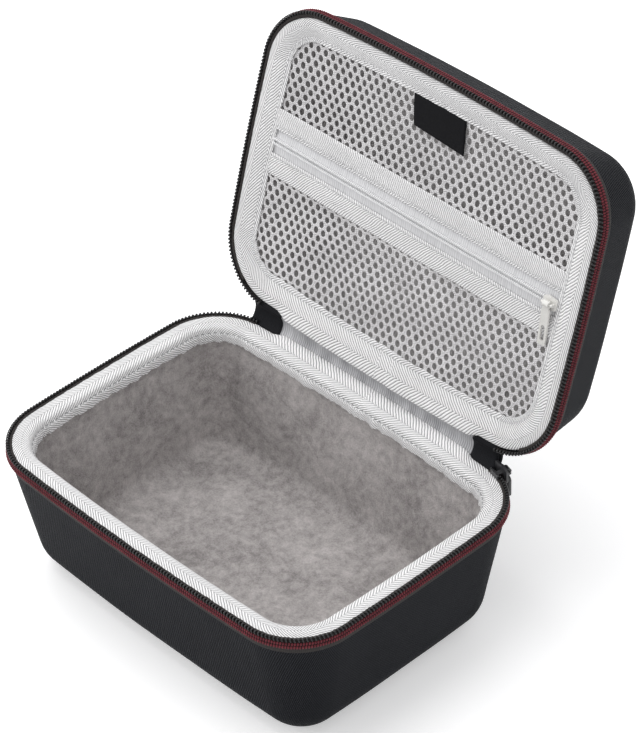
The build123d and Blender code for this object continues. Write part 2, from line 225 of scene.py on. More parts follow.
def skin(name, grid, run, material, half, round_run=True, round_profile=True, fill=False):
    """Faces and UV over a grid of points. run goes round the rim, profile across it."""
    n, m = grid.shape[:2]
    across = np.concatenate([[0], np.cumsum(np.linalg.norm(np.diff(grid[n // 3], axis=0), axis=1))])
    girth = across[-1] + np.linalg.norm(grid[n // 3, -1] - grid[n // 3, 0])
    if round_run:
        n -= 1
    faces, uvs = [], []
    for i in range(n if round_run else n - 1):
        a = (i + 1) % n
        for j in range(m if round_profile else m - 1):
            b = (j + 1) % m
            faces.append((i * m + j, a * m + j, a * m + b, i * m + b))
            v0, v1 = across[j], across[b] if b else girth
            uvs += [(run[i], v0), (run[i + 1], v0), (run[i + 1], v1), (run[i], v1)]
    points = grid[:n].reshape(-1, 3)
    if fill:
        caps = [[i * m + j for i in range(n)] for j in (0, m - 1)]
    elif not round_run:
        caps = [[i * m + j for j in range(m)] for i in (0, n - 1)]
    else:
        caps = []
    for cap in caps:
        faces.append(tuple(cap))
        uvs += [(points[k][0], points[k][1]) for k in cap]
    return piece(name, points, faces, uvs, material, half)


# ---------- materials ----------
class Shader:
    """A Principled material with short ways to add its nodes."""

    def __init__(self, name, colour, roughness, **sockets):
        self.material = bpy.data.materials.new(name)
        self.material.use_nodes = True
        self.tree = self.material.node_tree
        self.bsdf = self.tree.nodes["Principled BSDF"]
        self.bsdf.inputs["Base Color"].default_value = (*colour, 1)
        self.bsdf.inputs["Roughness"].default_value = roughness
        for key, value in sockets.items():
            self.bsdf.inputs[key.replace("_", " ")].default_value = value

    def node(self, kind, **settings):
        made = self.tree.nodes.new(kind)
        for key, value in settings.items():
            setattr(made, key, value)
        return made

    def feed(self, socket, value):
        if isinstance(value, bpy.types.NodeSocket):
            self.tree.links.new(value, socket)
        elif value is not None:
            socket.default_value = value

    def math(self, operation, a, b=None, c=None):
        made = self.node("ShaderNodeMath", operation=operation)
        for socket, value in zip(made.inputs, (a, b, c)):
            self.feed(socket, value)
        return made.outputs[0]

    def uv(self):
        """The piece's own UV, in millimetres."""
        split = self.node("ShaderNodeSeparateXYZ")
        self.feed(split.inputs[0], self.node("ShaderNodeUVMap", uv_map="UVMap").outputs[0])
        return split.outputs[0], split.outputs[1]

    def place(self):
        """Object coordinates in millimetres."""
        made = self.node("ShaderNodeMapping")
        made.inputs["Scale"].default_value = (1000, 1000, 1000)
        self.feed(made.inputs["Vector"], self.node("ShaderNodeTexCoord").outputs["Object"])
        return made.outputs[0]

    def noise(self, scale, detail=3.0, roughness=0.55, vector=None):
        """Cloudy noise over the object, or over the vector that is given."""
        made = self.node("ShaderNodeTexNoise")
        self.feed(made.inputs["Vector"], self.place() if vector is None else vector)
        made.inputs["Scale"].default_value = scale
        made.inputs["Detail"].default_value = detail
        made.inputs["Roughness"].default_value = roughness
        return made.outputs["Fac"]

    def ramp(self, value, low, high, to_low=0.0, to_high=1.0):
        made = self.node("ShaderNodeMapRange")
        for socket, v in zip(made.inputs, (value, low, high, to_low, to_high)):
            self.feed(socket, v)
        return made.outputs[0]

    def mix(self, factor, a, b):
        made = self.node("ShaderNodeMix", data_type="RGBA")
        self.feed(made.inputs[0], factor)
        for socket, value in ((made.inputs[6], a), (made.inputs[7], b)):
            self.feed(socket, value if isinstance(value, bpy.types.NodeSocket) else (*value, 1))
        return made.outputs[2]

    def combine(self, x, y, z=0.0):
        made = self.node("ShaderNodeCombineXYZ")
        for socket, value in zip(made.inputs, (x, y, z)):
            self.feed(socket, value)
        return made.outputs[0]

    def wave(self, phase, pitch):
        """A smooth 0 to 1 ripple of a phase in millimetres."""
        angle = self.math("MULTIPLY", phase, 2 * math.pi / pitch)
        return self.math("MULTIPLY_ADD", self.math("SINE", angle), 0.5, 0.5)

    def bump(self, height, strength, distance):
        made = self.node("ShaderNodeBump")
        made.inputs["Strength"].default_value = strength
        made.inputs["Distance"].default_value = distance / 1000
        self.feed(made.inputs["Height"], height)
        self.feed(self.bsdf.inputs["Normal"], made.outputs[0])

    def colour(self, value):
        self.feed(self.bsdf.inputs["Base Color"], value)

    def rough(self, value):
        self.feed(self.bsdf.inputs["Roughness"], value)


def shell_cloth():
    s = Shader("black_twill_cloth", (0.012, 0.013, 0.015), 0.6, Specular_IOR_Level=0.05)
    u, v = s.uv()
    rib = s.wave(s.math("MULTIPLY_ADD", v, 0.45, u), 1.2)
    cross = s.wave(s.math("SUBTRACT", u, v), 0.5)
    weave = s.math("MULTIPLY_ADD", cross, 0.3, rib)
    cloud = s.noise(0.035)
    fuzz = s.noise(2.2, 2.0)
    tone = s.math("MULTIPLY_ADD", cloud, 0.3, s.math("MULTIPLY", fuzz, 0.35))
    tone = s.math("MULTIPLY_ADD", rib, 0.9, tone)
    s.colour(s.mix(s.ramp(tone, 0.35, 1.25), (0.0012, 0.0015, 0.0022), (0.030, 0.032, 0.038)))
    s.bump(s.math("MULTIPLY_ADD", fuzz, 0.3, weave), 1.0, 0.3)
    return s.material


def herringbone_cloth(name, first, spines, pitch=1.9, lean=1.4,
                      light=(0.97, 0.965, 0.965), dark=(0.14, 0.14, 0.15)):
    """Pale tape woven in slanting ribs that turn back at each spine."""
    s = Shader(name, light, 0.7, Specular_IOR_Level=0.25, Sheen_Weight=0.1)
    u, v = s.uv()
    off = s.math("PINGPONG", s.math("ADD", v, 4 * spines - first), spines)
    near = s.math("MINIMUM", off, s.math("SUBTRACT", spines, off))
    slow = s.combine(s.math("MULTIPLY", u, 0.05), s.math("MULTIPLY", v, 0.2))
    drift = s.noise(1.0, 2.0, vector=slow)
    phase = s.math("MULTIPLY_ADD", drift, 2.2, s.math("MULTIPLY_ADD", off, lean, u))
    rib = s.math("POWER", s.wave(phase, pitch), 0.6)
    thread = s.wave(v, 0.5)
    deep = s.math("MULTIPLY", rib, s.ramp(near, 0.0, 0.3, 0.55, 1.0))
    fuzz = s.noise(1.6, 2.0)
    worn = s.noise(0.05, 2.0)
    tone = s.math("MULTIPLY_ADD", thread, 0.1, s.math("MULTIPLY_ADD", fuzz, 0.25, deep))
    tone = s.math("MULTIPLY_ADD", worn, 0.25, tone)
    s.colour(s.mix(s.ramp(tone, 0.15, 1.0), dark, light))
    s.bump(s.math("MULTIPLY_ADD", thread, 0.15, deep), 1.0, 0.4)
    return s.material


def velour(name, light, dark):
    s = Shader(name, light, 0.9, Specular_IOR_Level=0.1, Sheen_Weight=0.25, Sheen_Roughness=0.5)
    warp = s.noise(0.06, 2.0)
    swirl = s.node("ShaderNodeVectorMath", operation="MULTIPLY_ADD")
    s.feed(swirl.inputs[0], s.combine(warp, s.noise(0.045, 2.0), warp))
    swirl.inputs[1].default_value = (9, 9, 9)
    s.feed(swirl.inputs[2], s.place())
    brushed = s.noise(0.24, 5.0, vector=swirl.outputs[0])
    patchy = s.noise(0.035, 2.0)
    pile = s.noise(1.3, 3.0, 0.75)
    tone = s.math("MULTIPLY_ADD", patchy, 0.5, s.math("MULTIPLY", brushed, 0.7))
    tone = s.math("MULTIPLY_ADD", pile, 0.65, tone)
    s.colour(s.mix(s.ramp(tone, 0.65, 1.25), dark, light))
    s.bump(s.math("MULTIPLY_ADD", brushed, 0.6, pile), 0.9, 0.5)
    return s.material


def plain_weave(name, light, dark, pitch=0.6, roughness=0.7, sheen=0.15, depth=0.1):
    s = Shader(name, light, roughness, Specular_IOR_Level=sheen)
    u, v = s.uv()
    warp, weft = s.wave(u, pitch), s.wave(v, pitch * 0.8)
    weave = s.math("MULTIPLY", warp, weft)
    fuzz = s.noise(1.2, 2.0)
    s.colour(s.mix(s.math("MULTIPLY_ADD", fuzz, 0.5, s.math("MULTIPLY", weave, 0.6)), dark, light))
    s.bump(weave, 0.6, depth)
    return s.material


def woven_stripe():
    """Dark red yarn of the knots along the zip tape."""
    s = Shader("dark_red_yarn", (0.20, 0.030, 0.042), 0.6, Specular_IOR_Level=0.2)
    strand = s.noise(3.0, 2.0)
    cloud = s.noise(0.25)
    tone = s.math("MULTIPLY_ADD", cloud, 0.7, s.math("MULTIPLY", strand, 0.5))
    s.colour(s.mix(s.ramp(tone, 0.35, 0.85), (0.080, 0.013, 0.018), (0.22, 0.040, 0.052)))
    s.bump(strand, 0.5, 0.12)
    return s.material


def satin(name, light, dark, along=0.35):
    s = Shader(name, light, 0.42, Specular_IOR_Level=0.35)
    u, v = s.uv()
    fine = s.wave(s.math("MULTIPLY_ADD", s.noise(0.1), 1.5, u), 1.25)
    slow = s.combine(s.math("MULTIPLY", u, along), s.math("MULTIPLY", v, 0.05))
    pleat = s.noise(1.0, 3.0, 0.6, slow)
    s.colour(s.mix(s.math("MULTIPLY_ADD", fine, 0.5, s.ramp(pleat, 0.3, 0.7, 0.0, 0.5)), dark, light))
    s.bump(s.math("MULTIPLY_ADD", fine, 0.5, s.math("MULTIPLY", pleat, 0.4)), 0.7, 0.3)
    return s.material


def knit_mesh():
    s = Shader("pale_spacer_mesh", (0.68, 0.67, 0.675), 0.8, Specular_IOR_Level=0.15)
    u, v = s.uv()
    loops = s.wave(u, 1.0)
    knit = s.noise(1.5, 3.0, 0.6)
    cloud = s.noise(0.02, 2.0)
    ring = s.ramp(v, 0.0, 1.0, 0.0, 0.22)
    tone = s.math("MULTIPLY_ADD", cloud, 0.3, s.math("MULTIPLY_ADD", loops, 0.35, ring))
    tone = s.math("MULTIPLY_ADD", knit, 0.8, tone)
    s.colour(s.mix(s.ramp(tone, 0.5, 1.05), (0.31, 0.30, 0.305), (0.85, 0.84, 0.845)))
    s.bump(s.math("MULTIPLY_ADD", loops, 0.5, knit), 0.8, 0.3)
    return s.material


def nylon(name, colour, roughness, gloss):
    s = Shader(name, colour, roughness, Specular_IOR_Level=gloss)
    grain = s.noise(0.8, 2.0)
    s.rough(s.ramp(grain, 0.3, 0.7, roughness - 0.06, roughness + 0.12))
    s.bump(grain, 0.15, 0.05)
    return s.material


def painted_metal(name, colour, worn, roughness=0.35):
    s = Shader(name, colour, roughness, Metallic=0.0, Coat_Weight=0.3, Coat_Roughness=0.25)
    cloud = s.noise(0.5, 3.0)
    orange_peel = s.noise(2.5, 2.0)
    s.colour(s.mix(s.ramp(cloud, 0.35, 0.8), colour, worn))
    s.rough(s.ramp(cloud, 0.3, 0.7, roughness - 0.05, roughness + 0.1))
    s.bump(orange_peel, 0.2, 0.04)
    return s.material


MAT = {
    "shell": shell_cloth(),
    "base_binding": herringbone_cloth("base_herringbone", 7.4, 7.0),
    "lid_binding": herringbone_cloth("lid_herringbone", 6.5, 6.0),
    "band": herringbone_cloth("pocket_twill_band", 1.9, 14.0, 1.5, 0.9,
                              (0.93, 0.925, 0.925), (0.22, 0.22, 0.23)),
    "base_velour": velour("taupe_velour", (0.60, 0.565, 0.555), (0.19, 0.176, 0.172)),
    # The lid lining's colour is lighter than its own grey: painted light that makes up for the shade it
    # lies in behind the mesh.
    "lid_velour": velour("lid_velour", (0.78, 0.76, 0.755), (0.50, 0.485, 0.48)),
    "zip_tape": plain_weave("dark_zip_tape", (0.066, 0.060, 0.057), (0.020, 0.018, 0.018), 0.9, sheen=0.08),
    "stripe": woven_stripe(),
    "stripe_ground": plain_weave("stripe_ground", (0.035, 0.012, 0.014), (0.014, 0.007, 0.008), 0.5),
    "coil": nylon("black_nylon_coil", (0.006, 0.006, 0.007), 0.24, 0.38),
    "cord": plain_weave("coil_cord", (0.026, 0.022, 0.021), (0.008, 0.007, 0.007), 0.5, sheen=0.08),
    "mesh": knit_mesh(),
    "pocket_tape": satin("pocket_zip_tape", (0.76, 0.76, 0.77), (0.50, 0.50, 0.51), 1.0),
    "white_coil": nylon("white_nylon_coil", (0.90, 0.90, 0.905), 0.4, 0.4),
    "satin": satin("grey_satin", (0.62, 0.62, 0.635), (0.15, 0.15, 0.16), 0.12),
    "patch": plain_weave("charcoal_patch_cloth", (0.022, 0.023, 0.026), (0.006, 0.006, 0.007),
                         0.9, sheen=0.06),
    "label": plain_weave("black_label_cloth", (0.014, 0.014, 0.016), (0.004, 0.004, 0.0045),
                         0.45, sheen=0.06),
    "black_metal": painted_metal("black_painted_metal", (0.016, 0.016, 0.018), (0.03, 0.03, 0.033)),
    "white_metal": painted_metal("off_white_painted_metal", (0.74, 0.73, 0.70), (0.66, 0.65, 0.62), 0.3),
    "pale_thread": plain_weave("pale_thread", (0.80, 0.80, 0.81), (0.55, 0.55, 0.56), 0.3),
    "seam_thread": plain_weave("grey_seam_thread", (0.34, 0.34, 0.35), (0.2, 0.2, 0.205), 0.3),
}


def settle(obj, body, node=None):
    """Rides a piece on its body and the CAD node it takes over."""
    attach(obj, body)
    if node:
        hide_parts(node)


# ---------- repeats along a path ----------
def socket(tree, name, kind, default=None):
    made = tree.interface.new_socket(name=name, in_out="INPUT", socket_type=kind)
    if default is not None:
        made.default_value = default
    return made


def new_tree(name, given, number, default):
    """A geometry node tree that takes a geometry, a number, a part and a material."""
    tree = bpy.data.node_groups.new(name, "GeometryNodeTree")
    socket(tree, given, "NodeSocketGeometry")
    socket(tree, number, "NodeSocketFloat", default)
    socket(tree, "Part", "NodeSocketObject")
    socket(tree, "Material", "NodeSocketMaterial")
    tree.interface.new_socket(name="Geometry", in_out="OUTPUT", socket_type="NodeSocketGeometry")
    return tree, tree.nodes.new("NodeGroupInput"), tree.nodes.new("NodeGroupOutput")


def wire(tree, *links):
    """Joins (node, output, node, input), each by its socket's name or number."""
    for source, out, target, into in links:
        tree.links.new(source.outputs[out], target.inputs[into])


def repeat_tree():
    """Copies a small part along a path, each turned to the path and to the up side."""
    tree, given, result = new_tree("repeat_along_path", "Path", "Spacing", 0.001)
    new = tree.nodes.new
    curve, points = new("GeometryNodeMeshToCurve"), new("GeometryNodeCurveToPoints")
    points.mode = "LENGTH"
    turn = new("FunctionNodeAxesToRotation")
    turn.primary_axis, turn.secondary_axis = "X", "Z"
    turn.inputs[1].default_value = (0, 0, 1)
    info, copies = new("GeometryNodeObjectInfo"), new("GeometryNodeInstanceOnPoints")
    real, paint = new("GeometryNodeRealizeInstances"), new("GeometryNodeSetMaterial")
    wire(
        tree,
        (given, "Path", curve, "Mesh"),
        (curve, "Curve", points, "Curve"),
        (given, "Spacing", points, "Length"),
        (points, "Tangent", turn, 0),
        (given, "Part", info, "Object"),
        (points, "Points", copies, "Points"),
        (info, "Geometry", copies, "Instance"),
        (turn, 0, copies, "Rotation"),
        (copies, "Instances", real, "Geometry"),
        (real, "Geometry", paint, "Geometry"),
        (given, "Material", paint, "Material"),
        (paint, "Geometry", result, "Geometry"),
    )
    return tree


def sheet_tree():
    """Copies one cell onto loose points and joins the copies into one sheet."""
    tree, given, result = new_tree("cells_on_points", "Points", "Join within", 0.00001)
    new = tree.nodes.new
    info, copies = new("GeometryNodeObjectInfo"), new("GeometryNodeInstanceOnPoints")
    real, join = new("GeometryNodeRealizeInstances"), new("GeometryNodeMergeByDistance")
    paint = new("GeometryNodeSetMaterial")
    wire(
        tree,
        (given, "Part", info, "Object"),
        (given, "Points", copies, "Points"),
        (info, "Geometry", copies, "Instance"),
        (copies, "Instances", real, "Geometry"),
        (real, "Geometry", join, "Geometry"),
        (given, "Join within", join, "Distance"),
        (join, "Geometry", paint, "Geometry"),
        (given, "Material", paint, "Material"),
        (paint, "Geometry", result, "Geometry"),
    )
    return tree


REPEAT, CELLS = repeat_tree(), sheet_tree()


def carry(name, points, edges, tree, **values):
    """A carrier of points in millimetres, with a node tree and its inputs."""
    mesh = bpy.data.meshes.new(name + "_carrier")
    mesh.from_pydata([tuple(np.array(p) / 1000) for p in points], edges, [])
    carrier = bpy.data.objects.new(name + "_carrier", mesh)
    bpy.context.scene.collection.objects.link(carrier)
    modifier = carrier.modifiers.new(tree.name, "NODES")
    modifier.node_group = tree
    for item in tree.interface.items_tree:
        if item.in_out == "INPUT" and item.name in values:
            modifier[item.identifier] = values[item.name]
    return carrier


def repeat_along(name, path, part, spacing, material, half):
    """The part copied along a path of points (x, y, depth), as one plain mesh."""
    edges = [(i, i + 1) for i in range(len(path) - 1)]
    carrier = carry(name, path, edges, REPEAT, Spacing=spacing / 1000, Part=part, Material=material)
    return baked(carrier, name, half)


def baked(carrier, name, half, ease=None):
    """A carrier's finished geometry as a plain mesh, placed in its half."""
    graph = bpy.context.evaluated_depsgraph_get()
    mesh = bpy.data.meshes.new_from_object(carrier.evaluated_get(graph), depsgraph=graph)
    mesh.name = name
    bpy.data.objects.remove(carrier)
    points = np.zeros(len(mesh.vertices) * 3)
    mesh.vertices.foreach_get("co", points)
    points = points.reshape(-1, 3) * 1000
    mesh.vertices.foreach_set("co", placed(ease(points) if ease else points, half).ravel())
    face_outward(mesh)
    mesh.shade_smooth()
    mesh.update()
    obj = bpy.data.objects.new(name, mesh)
    bpy.context.scene.collection.objects.link(obj)
    return obj


def small_part(name, points, faces):
    """A little part, in millimetres about its own origin, that a tree will repeat."""
    mesh = bpy.data.meshes.new(name)
    mesh.from_pydata([tuple(np.array(p) / 1000) for p in points], [], faces)
    return bpy.data.objects.new(name, mesh)


def bent_bar(name, line, radii, sides=6, flatten=(1.0, 1.0)):
    """A round bar through points, as a small closed part. line holds (x, y, z)."""
    line = np.asarray(line, float)
    points, faces = [], []
    for i, p in enumerate(line):
        ahead = line[min(i + 1, len(line) - 1)] - line[max(i - 1, 0)]
        ahead /= np.linalg.norm(ahead)
        side = np.cross(ahead, (1, 0, 0)) if abs(ahead[0]) < 0.9 else np.cross(ahead, (0, 0, 1))
        side /= np.linalg.norm(side)
        other = np.cross(ahead, side)
        for k in range(sides):
            a = 2 * math.pi * (k + 0.5) / sides
            ring = math.cos(a) * side * flatten[0] + math.sin(a) * other * flatten[1]
            points.append(p + radii[i] * ring)
    for i in range(len(line) - 1):
        for k in range(sides):
            b = (k + 1) % sides
            faces.append((i * sides + k, i * sides + b, (i + 1) * sides + b, (i + 1) * sides + k))
    faces += [tuple(range(sides)), tuple(range((len(line) - 1) * sides, len(line) * sides))]
    bar = small_part(name, points, faces)
    face_outward(bar.data)
    return bar


# ---------- moulded halves ----------
def wall_profile(half, thick, edge, floor_depth, top):
    """Drafted wall from the rim, rounded into the start of the flat floor."""
    a = DRAFT[half]
    low = floor_depth - edge
    centre = wall_inset(low, half) + thick + edge / math.cos(a)
    line = [(wall_inset(d, half) + thick, d) for d in np.linspace(top, low + edge * math.sin(a), 14)[:-1]]
    for t in np.linspace(a, math.pi / 2, 13):
        line.append((centre - edge * math.cos(t), low + edge * math.sin(t)))
    last = line[-1][0]
    return line + [(last + 1.0, floor_depth), (last + 2.0, floor_depth)]


def gentle_waves(grid, size, amount, seed):
    """Small unevenness of moulded cloth, the same each run."""
    shape = grid.shape
    flat = grid.reshape(-1, 3)
    out = np.array([noise.noise_vector(Vector(p / size) + Vector((seed, seed, seed))) for p in flat])
    rows = np.arange(shape[1])
    still = np.clip((np.minimum(rows, rows[::-1]) - 2) / 5, 0, 1)
    return grid + out.reshape(shape) * amount * still[None, :, None]


def make_shell(half):
    floor_depth = HEIGHT[half] - FLOOR[half]
    outside = wall_profile(half, 0.0, EDGE[half], HEIGHT[half], RIM_DEPTH)
    inside = wall_profile(half, WALL[half] - 0.2, CAVITY_EDGE, floor_depth + 0.2, RIM_DEPTH)
    profile = outside[::-1] + inside
    grid = sweep(profile, RUN)
    grid = gentle_waves(grid, 38.0, 0.22, 3.1)
    shell = skin(f"{half}_shell_cover", grid, RUN, MAT["shell"], half, round_profile=False, fill=True)
    settle(shell, half, f"{half}_shell")


def make_lining(half):
    wall, floor_depth, top = WALL[half], HEIGHT[half] - FLOOR[half], RIM_DEPTH - 0.2
    front = wall_profile(half, wall + LINING, CAVITY_EDGE, floor_depth - LINING, top)
    back = wall_profile(half, wall + 0.3, CAVITY_EDGE + 0.7, floor_depth - 0.3, top)
    grid = gentle_waves(sweep(front[::-1] + back, RUN), 26.0, 0.25, 7.7)
    name, material = f"{half}_velour_lining", MAT[f"{half}_velour"]
    lining = skin(name, grid, RUN, material, half, round_profile=False, fill=True)
    settle(lining, half, f"{half}_lining")


def hinge_reach(run, end=60.0, fade=6.0):
    """1 along the hinge, where no coil runs, fading to 0 past its ends."""
    x = np.abs(np.interp(run, RUN, outline(0)[:, 0]))
    y = np.interp(run, RUN, outline(0)[:, 1])
    return np.where(y > 0, np.clip((end + fade - x) / fade, 0, 1), 0.0)


def front_side(run):
    """1 along the front side, where the zip's inner edge shows beside the binding."""
    y = np.interp(run, RUN, outline(0)[:, 1])
    return np.clip((-y - 50) / 20, 0, 1)


def gathers(run, size, seed):
    """Uneven waves that close on themselves round the rim."""
    turn = np.asarray(run) / LENGTH * 2 * math.pi
    r = LENGTH / (2 * math.pi * size)
    return np.array([noise.noise(Vector((math.cos(t) * r + seed, math.sin(t) * r, seed))) for t in turn])


def bind(half, profile, edge_from, ruffle, seed):
    """A binding swept round the rim, wrapped out over the hinge and gathered at its free edge."""
    step = np.concatenate([np.arange(0, LENGTH, 0.9), [LENGTH]])
    grid = sweep(profile, step)
    outward = np.stack([grid[:, 0, 0], grid[:, 0, 1]], axis=1)
    outward /= np.linalg.norm(outward, axis=1)[:, None]
    wrap = hinge_reach(step)
    slow, fast = gathers(step, 9.0, seed), gathers(step, 3.2, seed + 5)
    fine = gathers(step, 1.7, seed + 9)
    if half == "lid":  # the pocket zip's ends hold the edge flat
        ruffle = ruffle * (1 - np.exp(-((grid[:, 0, 1] - POCKET_LINE) / FLAT_REACH) ** 2))
    for j, row in enumerate(profile):
        inset = row[0]
        near = max(0.0, min(1.0, (6.5 - inset) / 4.5))
        grid[:, j, 1] += wrap * near * WRAP[half]
        grid[:, j, 2] -= wrap * near * HINGE_LIFT
        if half == "lid":
            grid[:, j, 1] += front_side(step) * near * FRONT_SHIFT
        free = max(0.0, min(1.0, (inset - edge_from) / (profile[:, 0].max() - edge_from)))
        fold = slow * 0.5 + fast * 0.6 + fine * 0.25
        grid[:, j, 2] += fold * ruffle * free + 0.10 * slow + 0.05 * fine
        grid[:, j, :2] -= outward * (fold * ruffle * 0.45 * free + 0.06 * fast)[:, None]
        if half == "lid":
            past = (step - OVERLAP_AT) % LENGTH / OVERLAP_RUN
            grid[:, j, 2] -= OVERLAP_RISE * np.clip(1 - past, 0, 1)
    return step, grid


def make_base_binding():
    visible = smooth_line([
        (1.5, 3.9), (1.6, 2.7), (2.3, 1.9), (4.0, 1.5), (6.5, 1.45), (8.6, 1.6), (10.2, 1.85),
        (11.2, 2.5), (11.75, 3.5), (12.0, 4.4), (12.3, 4.65), (12.7, 5.15), (13.0, 6.0), (13.15, 7.2),
        (13.25, 8.3), (13.2, 9.1),
    ], 5)
    hidden = [(12.8, 9.3), (12.2, 8.9), (11.9, 7.0), (11.2, 5.7), (8.8, 4.3), (5.0, 4.2), (2.2, 4.2)]
    profile = np.vstack([visible, hidden])
    run, grid = bind("base", profile, 12.2, 1.4, 11.0)
    binding = skin("base_binding_tape", grid, run, MAT["base_binding"], "base")
    settle(binding, "base", "base_binding")
    stitches("base_binding_stitches", "base", 12.1, 4.5, 0.0, MAT["seam_thread"])


def make_lid_binding():
    s = MESH_SHIFT
    visible = smooth_line([
        (2.5, 4.0, 0), (2.55, 2.7, 0), (3.2, 1.9, 0), (4.8, 1.55, 0), (7.4, 1.6, 0),
        (10.4, 2.2, s * 0.4), (13.0, 2.95, s * 0.8), (14.3, 3.15, s), (15.7, 3.3, s),
        (16.1, 3.5, s), (16.15, 3.8, s),
    ], 5)
    hidden = [(15.8, 4.1, s), (12.5, 4.2, s * 0.8), (9.0, 4.25, s * 0.4), (3.4, 4.3, 0)]
    profile = np.vstack([visible, hidden])
    run, grid = bind("lid", profile, 13.5, 0.75, 31.0)
    binding = skin("lid_binding_tape", grid, run, MAT["lid_binding"], "lid")
    settle(binding, "lid", "lid_binding")
    stitches("lid_binding_stitches", "lid", 14.2, 3.12, s, MAT["pale_thread"])


def stitches(name, half, inset, depth, shift, material):
    """A row of short sewn stitches that follows the rim."""
    line = [(-1.0, 0, 0.18), (-0.75, 0, -0.08), (0, 0, -0.16), (0.75, 0, -0.08), (1.0, 0, 0.18)]
    stitch = bent_bar(name + "_one", line, [0.1, 0.16, 0.18, 0.16, 0.1], sides=5)
    path = around(inset, depth, np.linspace(0, LENGTH, 700), shift)
    sewn = repeat_along(name, path, stitch, 3.0, material, half)
    settle(sewn, half)


# ---------- main zip ----------
def zip_run(step):
    return np.linspace(ZIP_START, LENGTH - ZIP_START, int((LENGTH - 2 * ZIP_START) / step))


def strip_round(name, half, profile, material, node=None):
    """A strip of a closed profile that follows the zip round three sides."""
    run = zip_run(1.25)
    strip = skin(name, sweep(profile, run), run, material, half, round_run=False)
    settle(strip, half, node)


def make_zip(half):
    def wall(depth, proud=0.0):
        return wall_inset(depth, half) - proud, depth

    strip_round(f"{half}_zip_tape_edge", half, np.array([
        (1.5, 2.0), (1.15, 2.2), (0.9, 2.7), (0.45, 4.2), (0.25, 5.6), (0.35, 6.3), (0.75, 7.4),
        wall(8.5, 0.55), wall(9.2, 0.45), wall(9.4, 0.1), wall(8.8), wall(6.5), (1.3, 4.4), (1.7, 2.6),
    ]), MAT["zip_tape"], f"{half}_zip_tape")
    strip_round(f"{half}_red_stripe", half, np.array([
        (0.95, 2.45), (0.78, 2.7), (0.32, 4.2), (0.12, 5.55), (0.2, 5.75), (0.5, 5.6), (0.6, 4.2),
        (1.1, 2.7),
    ]), MAT["stripe_ground"], f"{half}_zip_stripe")
    line = [(-0.16, -0.2, -0.62), (-0.07, -0.12, -0.34), (0.07, 0.12, 0.34), (0.16, 0.2, 0.62)]
    knot = bent_bar("stripe_knot", line, [0.26, 0.46, 0.46, 0.26], sides=6, flatten=(0.75, 1.1))
    run = zip_run(0.6)
    for row, inset, depth in (("upper", 0.55, 3.25), ("lower", 0.12, 4.85)):
        name, path = f"{half}_stripe_knots_{row}", around(inset, depth, run)
        knots = repeat_along(name, path, knot, KNOT_PITCH, MAT["stripe"], half)
        settle(knots, half)
    tooth = bent_bar("coil_tooth", [
        (-0.42, 0.46, 1.65), (-0.36, 0.68, 1.25), (-0.14, 0.70, 0.70), (0.0, 0.42, 0.30), (0.0, 0.0, 0.20),
        (0.0, -0.42, 0.30), (0.14, -0.70, 0.70), (0.36, -0.68, 1.25), (0.42, -0.46, 1.65),
    ], [0.26, 0.32, 0.38, 0.46, 0.50, 0.46, 0.38, 0.32, 0.26], flatten=(0.8, 1.15))
    path = around(COIL_INSET, COIL_TOP, run)
    teeth = repeat_along(f"{half}_coil_teeth", path, tooth, COIL_PITCH, MAT["coil"], half)
    core = [(0.7, 1.2), (1.0, 1.1), (1.3, 1.2), (1.5, 1.9), (1.7, 2.9), (1.2, 3.2), (0.9, 2.6), (0.6, 1.9)]
    run = zip_run(1.25)
    cord = skin(f"{half}_coil_cord", sweep(core, run), run, MAT["cord"], half, round_run=False)
    piping = smooth_line([(1.5, 2.6), (1.7, 1.6), (2.3, 1.3), (2.9, 1.5), (3.4, 2.1), (4.0, 3.4)], 3)
    if half == "lid":
        run = run[PARKED:-PARKED]
    grid = sweep(np.vstack([piping, [(3.9, 3.9), (1.7, 3.6)]]), run)
    grid[:, :, 2] += (0.3 * gathers(run, 2.2, 3.0) + 0.2 * gathers(run, 5.0, 8.0))[:, None]
    edge = skin(f"{half}_zip_inner_edge", grid, run, MAT["zip_tape"], half, round_run=False)
    settle(teeth, half, f"{half}_zip_coil")
    settle(cord, half)
    settle(edge, half)


# ---------- lid pocket ----------
def panel_field(x, y):
    """Signed distance inside the mesh's opening, positive inside."""
    edge = MESH_INSET - 2.5
    hx, hy, r = CASE_WIDTH / 2 - edge, CASE_DEPTH / 2 - edge, CORNER - edge
    qx, qy = abs(x) - (hx - r), abs(y + MESH_SHIFT) - (hy - r)
    return r - (math.hypot(max(qx, 0), max(qy, 0)) + min(max(qx, qy), 0))


def mesh_cell():
    """One six-sided cell of the knitted mesh, with its oval hole."""
    lip_x, lip_y = 1.16 * HOLE_X, 1.14 * HOLE_Y
    corners = [(0, 2), (3, 1), (3, -1), (0, -2), (-3, -1), (-3, 1)]
    corners = np.array(corners) * (CELL_X / 6, CELL_Y / 3)
    rim = np.array([p for a, b in zip(corners, np.roll(corners, -1, 0)) for p in (a, (a + b) / 2)])
    turn = np.arctan2(rim[:, 0] / HOLE_X, rim[:, 1] / HOLE_Y)
    way = np.column_stack([np.sin(turn), np.cos(turn)])
    rings = [(rim, 0.06), (way * (lip_x, lip_y), -0.10), (way * (HOLE_X, HOLE_Y), 0.08),
             (way * (HOLE_X, HOLE_Y), 0.4), (way * (lip_x, lip_y), 0.5), (rim, 0.5)]
    points = [(x, y, d) for ring, d in rings for x, y in ring]
    faces, uvs = [], []
    for step in range(5):
        for k in range(12):
            n = (k + 1) % 12
            faces.append((step * 12 + k, step * 12 + n, step * 12 + 12 + n, step * 12 + 12 + k))
            uvs += [(k, step), (k + 1, step), (k + 1, step + 1), (k, step + 1)]
    cell = small_part("mesh_cell", points, faces)
    cell.data.uv_layers.new(name="UVMap").data.foreach_set("uv", np.array(uvs, np.float32).ravel())
    return cell


